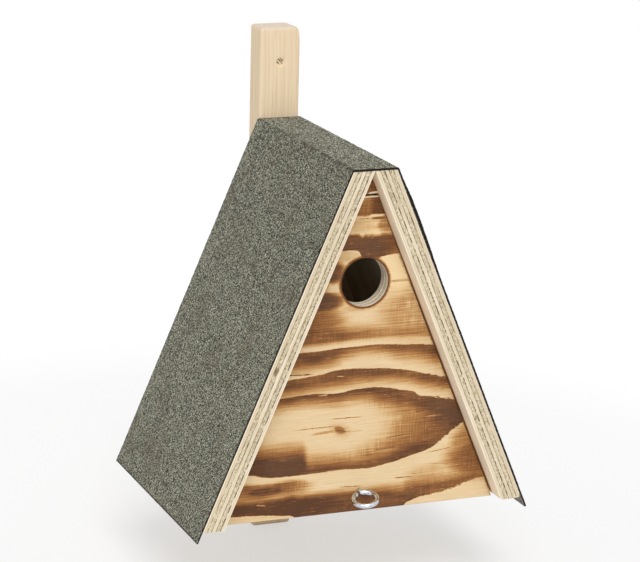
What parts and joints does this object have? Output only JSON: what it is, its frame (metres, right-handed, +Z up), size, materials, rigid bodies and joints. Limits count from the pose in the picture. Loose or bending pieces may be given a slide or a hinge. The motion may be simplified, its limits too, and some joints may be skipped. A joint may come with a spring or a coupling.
{
  "type": "nest box",
  "caption": "A-frame nest box with a felted plywood roof, a scorched plywood front that swings open on nails, a round entrance hole and a long hanging batten.",
  "frame": {"origin": "on the batten's flat back face, midway across it, level with the lower ends of the roof panels", "axes": "+X to the right-hand side seen from the front, -Y out of the front, +Y into the tree or wall, +Z up"},
  "size_m": [0.2034, 0.1755, 0.3135],
  "materials": {
    "plywood": "raw birch-pale plywood with bare layered edges, matt",
    "mineral_felt": "bitumen roofing felt with grey-green mineral granules, matt",
    "scorched_plywood": "plywood with a flame-scorched pine face, brushed, matt",
    "planed_softwood": "planed spruce, raw, matt",
    "zinc_plated_steel": "bright zinc plating, glossy",
    "plain_steel": "plain drawn steel, satin"
  },
  "bodies": {
    "box": {"left_roof_panel": "plywood", "right_roof_panel": "plywood", "roofing_felt": "mineral_felt", "back_board": "plywood", "floor_board": "plywood", "gable_piece": "scorched_plywood", "hanging_batten": "planed_softwood", "upper_batten_screw": "plain_steel", "lower_batten_screw": "plain_steel", "left_hinge_nail": "plain_steel", "right_hinge_nail": "plain_steel", "left_back_nails": "plain_steel", "right_back_nails": "plain_steel", "left_floor_nails": "plain_steel", "right_floor_nails": "plain_steel", "left_gable_brad": "plain_steel", "right_gable_brad": "plain_steel"},
    "door": {"front_door": "scorched_plywood", "screw_eye": "zinc_plated_steel"}
  },
  "joints": [
    {"name": "door_hinge", "type": "hinge", "parent": "box", "child": "door", "pos_m": [0, -0.153, 0.171], "axis": [-1, 0, 0], "range_deg": [0, 15]}
  ]
}
